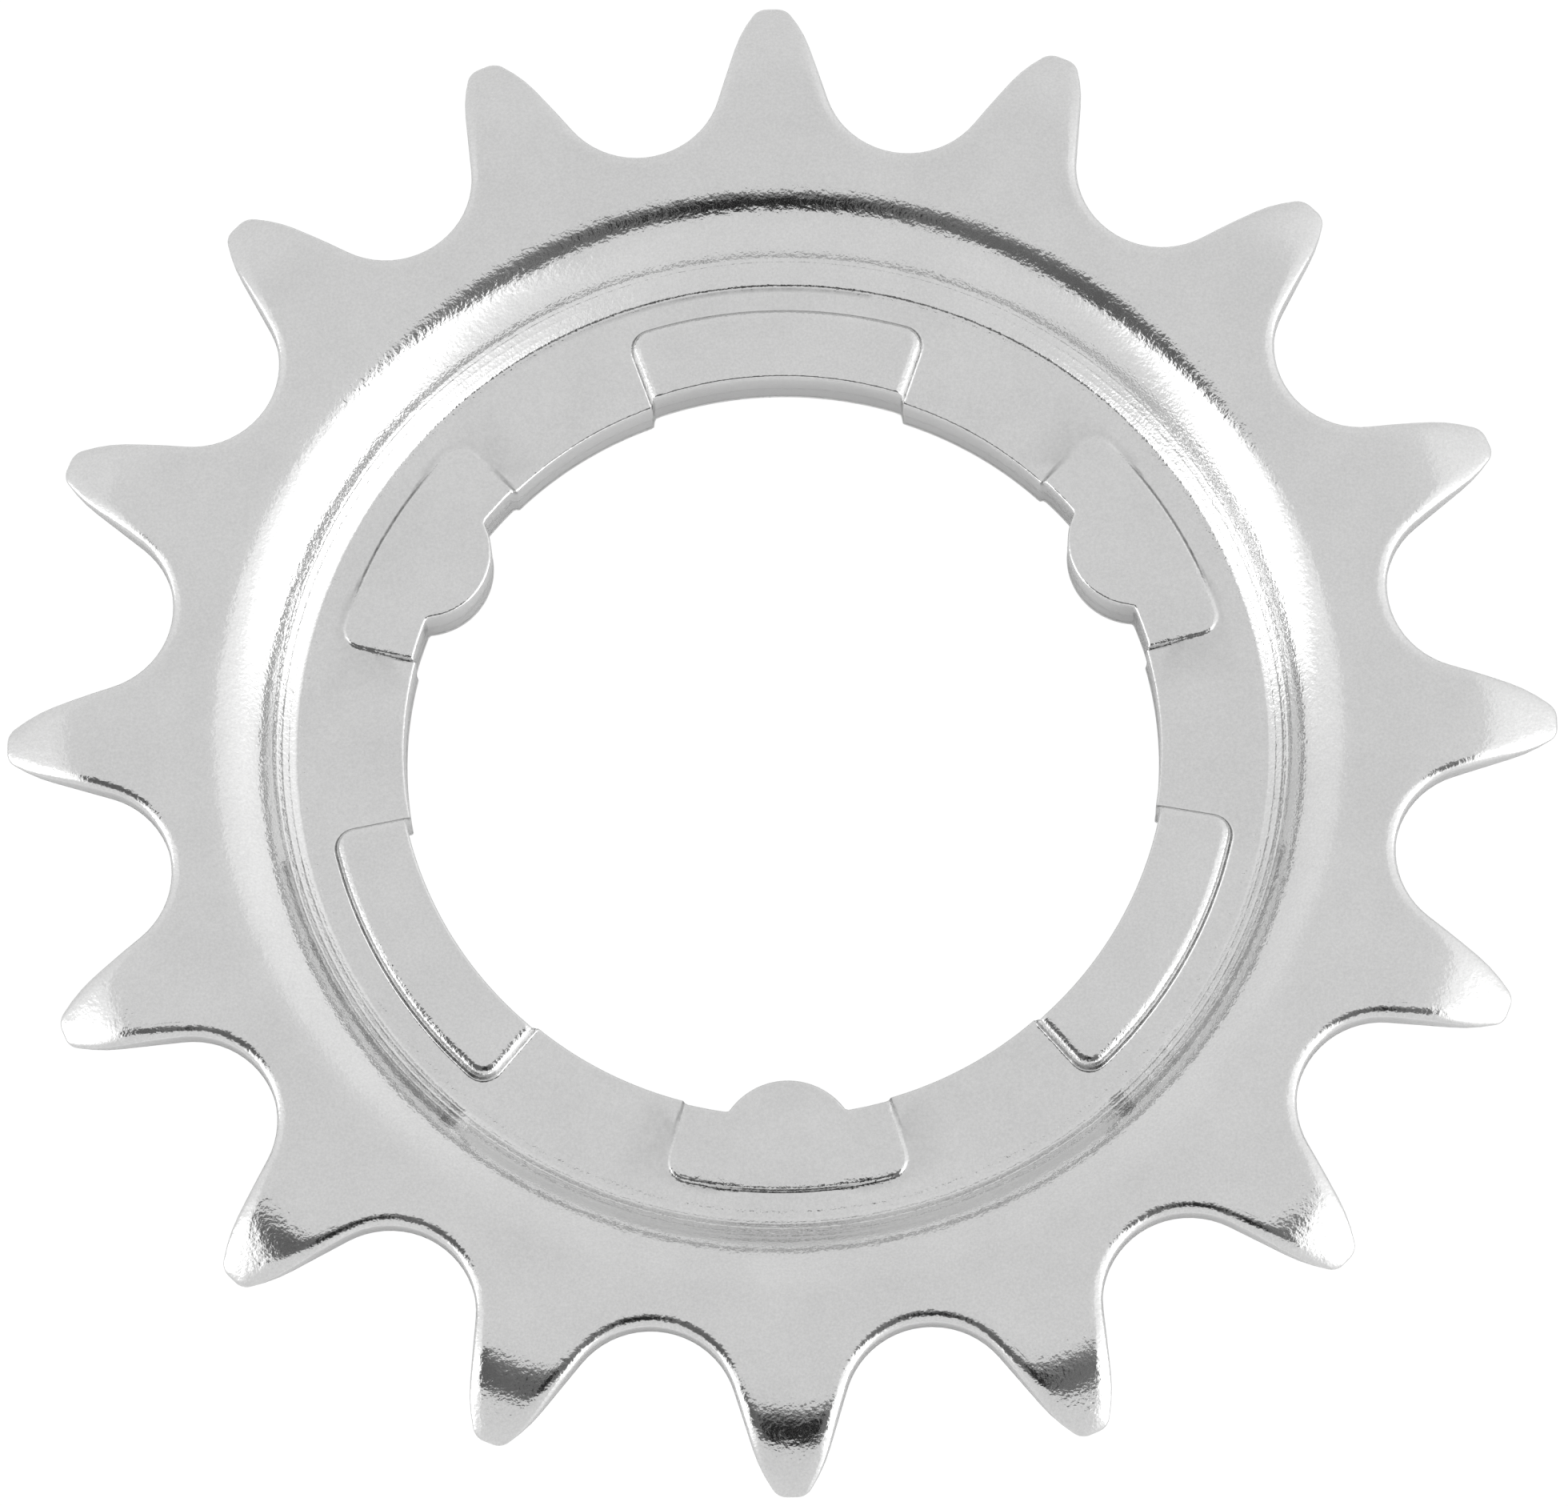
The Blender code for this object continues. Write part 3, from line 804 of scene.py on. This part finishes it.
class Nodes:
    """Small helper to write a node tree one call a node."""

    def __init__(self, tree):
        self.tree = tree
        tree.nodes.clear()

    def add(self, kind, **inputs):
        node = self.tree.nodes.new(kind)
        for name, value in inputs.items():
            key = name.replace("_", " ")
            if key in node.inputs:
                self.feed(node.inputs[key], value)
            else:
                setattr(node, name, value)
        return node

    def feed(self, socket, value):
        if isinstance(value, bpy.types.NodeSocket):
            self.tree.links.new(value, socket)
        else:
            socket.default_value = value

    def math(self, operation, *values):
        node = self.tree.nodes.new("ShaderNodeMath")
        node.operation = operation
        for socket, value in zip(node.inputs, values):
            self.feed(socket, value)
        return node.outputs[0]

    def noise(self, vector, scale, detail, roughness):
        inputs = {"Vector": vector, "Scale": scale, "Detail": detail, "Roughness": roughness}
        return self.add("ShaderNodeTexNoise", **inputs).outputs["Fac"]

    def between(self, factor, low, high):
        """A number between low and high."""
        return self.add("ShaderNodeMapRange", Value=factor, To_Min=low, To_Max=high).outputs[0]

    def mix_colours(self, factor, low, high):
        """A colour between low and high."""
        node = self.add("ShaderNodeMix", data_type="RGBA")
        for socket, value in zip(MIX_COLOUR_INPUTS, (factor, low, high)):
            self.feed(node.inputs[socket], value)
        return node.outputs[MIX_COLOUR_RESULT]

    def mix_shaders(self, factor, low, high):
        node = self.add("ShaderNodeMixShader")
        for socket, value in zip(node.inputs, (factor, low, high)):
            self.feed(socket, value)
        return node.outputs[0]

    def bump(self, height, distance, normal=None):
        node = self.add("ShaderNodeBump", Height=height, Distance=distance)
        if normal is not None:
            self.feed(node.inputs["Normal"], normal)
        return node.outputs[0]

    def attribute(self, name):
        return self.add("ShaderNodeAttribute", attribute_name=name).outputs["Fac"]

    def finish(self, surface, output="ShaderNodeOutputMaterial"):
        self.feed(self.add(output).inputs["Surface"], surface)


def new_material(name):
    """A material with an empty node tree, and the helper that fills it."""
    material = bpy.data.materials.new(name)
    material.use_nodes = True
    return material, Nodes(material.node_tree)


def grey(level):
    return (level, level, level, 1.0)


def plated_steel():
    """Bright plate with orange peel, mottle and scuffs, torn at cuts, with painted shade darkening
    its creases.
    """
    material, n = new_material("plated_steel")
    place = n.add("ShaderNodeTexCoord").outputs["Object"]
    torn = n.attribute("torn")
    scuffed = n.attribute("scuffed")
    # How much painted shade darkens each point's crease
    crease_shade = n.attribute("crease_shade")

    normal = n.bump(n.noise(place, *PEEL_NOISE), PEEL_BUMP)
    normal = n.bump(n.noise(place, *BROAD_PEEL_NOISE), BROAD_PEEL_BUMP, normal)
    normal = n.bump(n.noise(place, *FINE_PEEL_NOISE), FINE_PEEL_BUMP, normal)
    scuff = n.math("MULTIPLY", n.noise(place, *SCUFF_NOISE), scuffed)
    normal = n.bump(scuff, SCUFF_BUMP, normal)
    stretched = n.add("ShaderNodeVectorMath", operation="MULTIPLY")
    n.feed(stretched.inputs[0], place)
    n.feed(stretched.inputs[1], TORN_STREAK_STRETCH)
    streaks = n.noise(stretched.outputs[0], *TORN_STREAK_NOISE)
    grain = n.noise(place, *TORN_GRAIN_NOISE)
    rough_cut = n.math("MULTIPLY_ADD", grain, TORN_GRAIN_PART, streaks)
    normal = n.bump(n.math("MULTIPLY", rough_cut, torn), TORN_BUMP, normal)

    fine = n.math("MULTIPLY", n.noise(place, *FINE_MOTTLE_NOISE), FINE_MOTTLE_PART)
    broad = n.noise(place, *BROAD_MOTTLE_NOISE)
    mottle = n.math("MULTIPLY_ADD", broad, 1 - FINE_MOTTLE_PART, fine)
    colour = n.mix_colours(mottle, DARK_PLATE, BRIGHT_PLATE)
    colour = n.mix_colours(torn, colour, TORN_COLOUR)
    # Painted shade: creases darkened towards the dark crease colour
    broken = n.between(n.noise(place, *CREASE_SHADE_NOISE), *CREASE_SHADE_RANGE)
    colour = n.mix_colours(n.math("MULTIPLY", crease_shade, broken), colour, CREASE_SHADE_COLOUR)

    smear = n.between(n.noise(place, *SMEAR_NOISE), *ROUGHNESS_RANGE)
    rough = n.math("MULTIPLY_ADD", torn, TORN_ROUGHNESS, smear)
    shader = n.add("ShaderNodeBsdfPrincipled", Metallic=1.0, Roughness=rough, Normal=normal)
    n.feed(shader.inputs["Base Color"], colour)
    n.finish(shader.outputs[0])
    return material


# ---------------------------------------------------------------- studio


def link(name, mesh):
    item = bpy.data.objects.new(name, mesh)
    bpy.context.scene.collection.objects.link(item)
    return item


def add_camera():
    """A long lens that looks at the front from a little below."""
    camera_data = bpy.data.cameras.new("camera")
    camera_data.lens = CAMERA_LENS
    camera_data.sensor_width = CAMERA_SENSOR
    camera_data.sensor_fit = "HORIZONTAL"
    camera_data.clip_start, camera_data.clip_end = CAMERA_CLIP
    camera = link("camera", camera_data)
    turn = Matrix.Identity(4)
    for axis, angle in CAMERA_TURNS:
        turn = turn @ Matrix.Rotation(math.radians(angle), 4, axis)
    place = Vector(CAMERA_PLACE) + Vector((0.0, 0.0, PLATE_FRONT))
    camera.matrix_world = Matrix.Translation(place * MM) @ turn.transposed()
    bpy.context.scene.camera = camera
    return camera


def add_floor():
    """A white floor that the camera sees glowing, so that it stays even."""
    mesh = bpy.data.meshes.new("floor")
    side, height = FLOOR_HALF_SIDE, -FLOOR_GAP * MM
    corners = [(x * side, y * side, height) for x, y in ((-1, -1), (1, -1), (1, 1), (-1, 1))]
    mesh.from_pydata(corners, [], [(0, 1, 2, 3)])
    material, n = new_material("floor_white")
    paper = n.add("ShaderNodeBsdfPrincipled", Roughness=FLOOR_ROUGHNESS)
    n.feed(paper.inputs["Base Color"], grey(FLOOR_GREY))
    glow = n.add("ShaderNodeEmission", Strength=FLOOR_GLOW)
    seen = n.add("ShaderNodeLightPath").outputs["Is Camera Ray"]
    share = n.math("MULTIPLY", seen, FLOOR_GLOW_SHARE)
    n.finish(n.mix_shaders(share, paper.outputs[0], glow.outputs[0]))
    mesh.materials.append(material)
    link("floor", mesh)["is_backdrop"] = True


def shining_card(name, columns, rows, place, radiance, cover=None):
    """A grid card, unseen by the camera. place(u, v) is a point of it, radiance(u, v) its light,
    and cover(u, v) how much it hides of what lies behind."""
    points, values, covers, faces = [], [], [], []
    for i in range(rows + 1):
        for j in range(columns + 1):
            u, v = j / columns, i / rows
            points.append(place(u, v))
            values.append(float(radiance(u, v)))
            covers.append(float(cover(u, v)) if cover else 1.0)
    for i in range(rows):
        for j in range(columns):
            a = i * (columns + 1) + j
            faces.append((a, a + 1, a + columns + 2, a + columns + 1))
    mesh = bpy.data.meshes.new(name)
    mesh.from_pydata(points, [], faces)
    for key, numbers in (("radiance", values), ("cover", covers)):
        attribute = mesh.attributes.new(key, "FLOAT", "POINT")
        attribute.data.foreach_set("value", numbers)
    material, n = new_material(name)
    light = n.add("ShaderNodeEmission", Strength=n.attribute("radiance"))
    clear = n.add("ShaderNodeBsdfTransparent")
    n.finish(n.mix_shaders(n.attribute("cover"), clear.outputs[0], light.outputs[0]))
    mesh.materials.append(material)
    item = link(name, mesh)
    item.visible_camera = False
    item.visible_shadow = False
    item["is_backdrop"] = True
    return item


def box_light(box, aside, tilt):
    """Light that one soft box adds in a direction: a bright core, and a veil round it."""
    above = tilt - np.interp(aside, *box["upper"])
    below = np.interp(aside, *box["lower"]) - tilt
    outside = max(above, below, box["inner"] - aside)
    reach = box["veil_above"] if above > below else box["veil_below"]
    veil = BOX_VEIL * math.exp(-max(outside, 0.0) / reach)
    veil *= smooth(*BOX_INNER_RANGE, aside - box["inner"])
    return veil + BOX_CORE * smooth(0.0, BOX_CORE_RIM, -outside)


def tent_light(side, tilt):
    """Light of the tent in a direction: side is its angle towards +X, and tilt then towards +Y."""
    light = TENT_LIGHT + TENT_RIGHT * smooth(*TENT_RIGHT_RANGE, side)
    light += TENT_LEFT * smooth(*TENT_LEFT_RANGE, -side)
    light += TENT_EDGE * smooth(*TENT_EDGE_RANGE, abs(tilt))
    return light + box_light(RIGHT_BOX, side, tilt) + box_light(LEFT_BOX, -side, tilt)


def add_tent():
    """A white tent round the part, brighter where its two soft boxes shine through."""

    def angles(u, v):
        return TENT_SPAN * (2 * u - 1), TENT_SPAN * (2 * v - 1)

    def place(u, v):
        side, tilt = np.radians(angles(u, v))
        flat = TENT_DISTANCE * math.cos(side)
        return TENT_DISTANCE * math.sin(side), flat * math.sin(tilt), flat * math.cos(tilt)

    def radiance(u, v):
        return tent_light(*angles(u, v))

    tent = shining_card("light_tent", TENT_CELLS, TENT_CELLS, place, radiance)
    tent.active_material.cycles.emission_sampling = "NONE"


def add_dark_card(camera):
    """The dark opening round the lens, with the black lens in its middle."""

    def spot(u, v):
        """A point of the card, and how far the slanting card is raised there."""
        x = CARD_LEFT + (CARD_RIGHT - CARD_LEFT) * u
        return x, CARD_HALF_HEIGHT * (2 * v - 1), CARD_RISE + CARD_SLANT * x

    def place(u, v):
        x, y, shift = spot(u, v)
        return x, y + shift, 0.0

    def cover(u, v):
        x, y, _ = spot(u, v)
        across = abs(x / (CARD_RIGHT if x > 0 else CARD_LEFT))
        reach = across**CARD_ROUNDNESS + abs(y / CARD_HALF_HEIGHT) ** CARD_ROUNDNESS
        return 1 - smooth(*CARD_RIM, reach)

    def radiance(u, v):
        x, y, shift = spot(u, v)
        side, side_low, side_high = CARD_SIDE_GREY
        top, top_low, top_high = CARD_TOP_GREY
        light = CARD_GREY + side * smooth(side_low, side_high, x)
        light += top * smooth(top_low, top_high, y) * smooth(*CARD_TOP_SIDE, x)
        lens = 1 - smooth(*LENS_RIM, math.hypot(x, y + shift + LENS_DROP))
        return light * (1 - lens) + LENS_GREY * lens

    card = shining_card("dark_card", *CARD_CELLS, place, radiance, cover)
    card.matrix_world = camera.matrix_world.copy()
    card.visible_diffuse = False


def add_world():
    """Soft light from all round, and an even white backdrop for the camera."""
    world = bpy.data.worlds.new("tent")
    bpy.context.scene.world = world
    world.use_nodes = True
    n = Nodes(world.node_tree)
    direction = n.add("ShaderNodeTexCoord").outputs["Generated"]
    height = n.add("ShaderNodeSeparateXYZ", Vector=direction).outputs["Z"]
    ramp = n.add("ShaderNodeValToRGB", Fac=height)
    stops = ramp.color_ramp.elements
    stops[0].position, stops[1].position = WORLD_STOPS[0][0], WORLD_STOPS[1][0]
    stops.new(WORLD_STOPS[2][0])
    for stop, (_, level) in zip(stops, WORLD_STOPS):
        stop.color = grey(level)
    light = n.add("ShaderNodeBackground", Strength=1.0)
    n.feed(light.inputs["Color"], ramp.outputs["Color"])
    backdrop = n.add("ShaderNodeBackground", Strength=1.0)
    n.feed(backdrop.inputs["Color"], grey(BACKDROP_GREY))
    seen = n.add("ShaderNodeLightPath").outputs["Is Camera Ray"]
    both = n.mix_shaders(seen, light.outputs[0], backdrop.outputs[0])
    n.finish(both, "ShaderNodeOutputWorld")


def main():
    mesh = build_mesh()
    mesh.materials.append(plated_steel())
    sprocket = link("hub_gear_sprocket", mesh)
    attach(sprocket, BODY)
    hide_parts(NODE)
    camera = add_camera()
    add_floor()
    add_world()
    add_dark_card(camera)
    add_tent()
    view_settings = bpy.context.scene.view_settings
    view_settings.view_transform = "Standard"
    view_settings.look = "None"
    view_settings.exposure = 0.0
    view_settings.gamma = 1.0


main()

boxes = [[list(corner) for corner in box] for box in (cad_bounds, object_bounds())]
